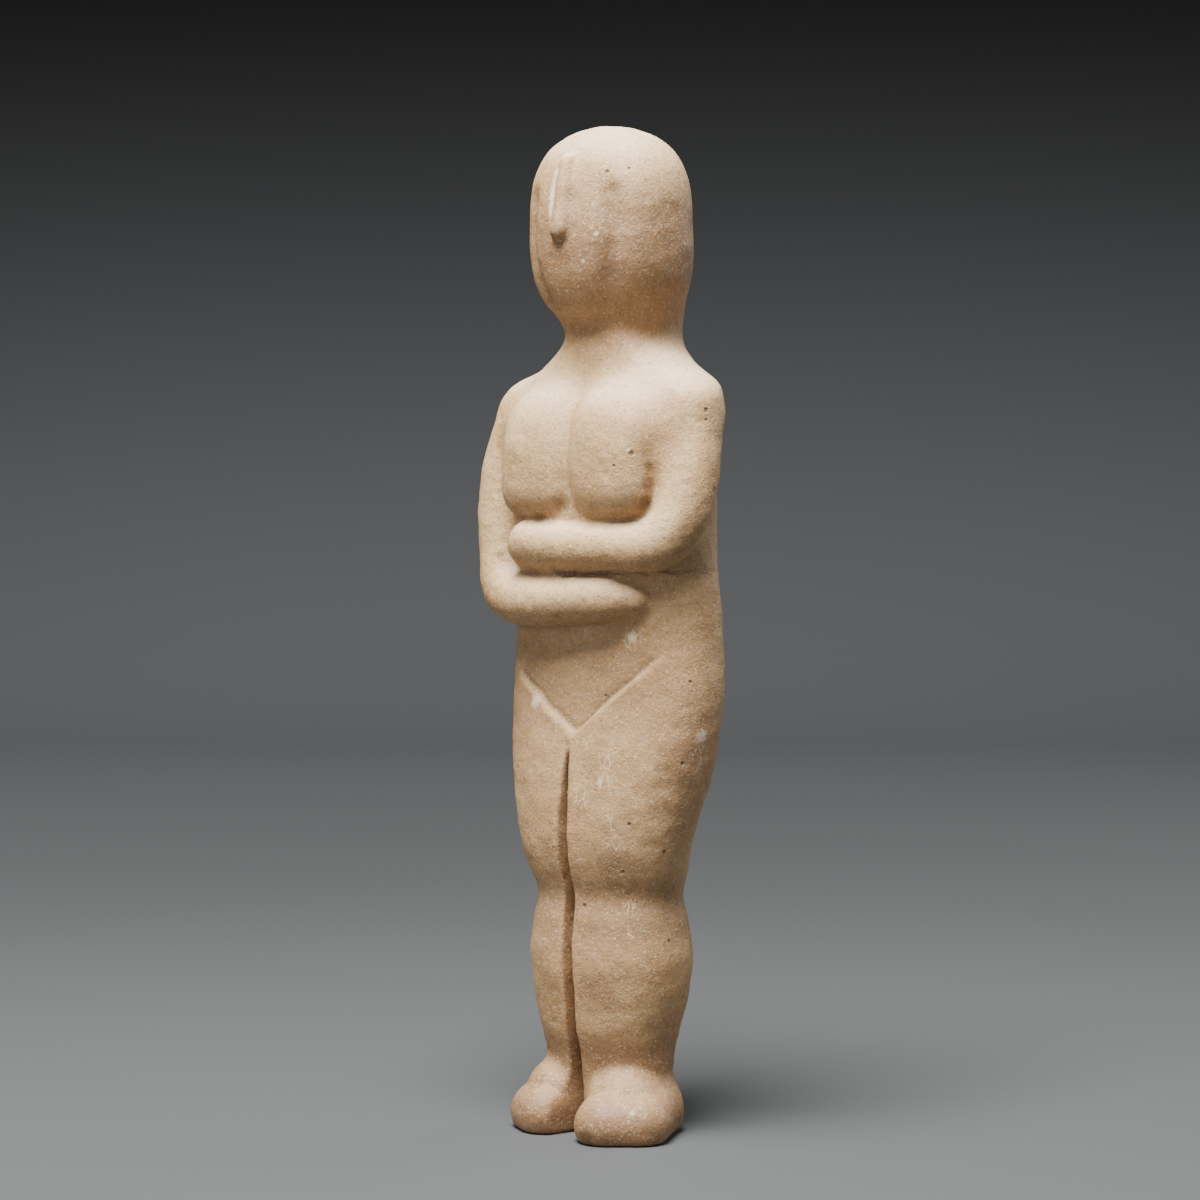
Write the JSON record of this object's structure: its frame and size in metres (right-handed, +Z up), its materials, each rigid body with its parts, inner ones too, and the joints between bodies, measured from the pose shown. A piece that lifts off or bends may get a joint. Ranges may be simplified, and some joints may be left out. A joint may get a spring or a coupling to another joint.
{
  "type": "standing marble figurine",
  "caption": "Standing stone figure with a blank long-nosed face, arms folded under the breasts, legs pressed together and splayed club feet, carved in one piece.",
  "frame": {"origin": "under the middle of the figure's box, in the plane of the soles", "axes": "+Z up from soles to crown, -Y to the figure's front, +X to the figure's own left"},
  "size_m": [0.0928, 0.0544, 0.32],
  "materials": {
    "marble": "rubbed, weathered, sugary-grained white marble under a warm honey-brown patina, matt with a faint sheen, with pits and brown deposits in the hollows"
  },
  "bodies": {
    "root": {"marble_figurine": "marble"}
  },
  "joints": []
}
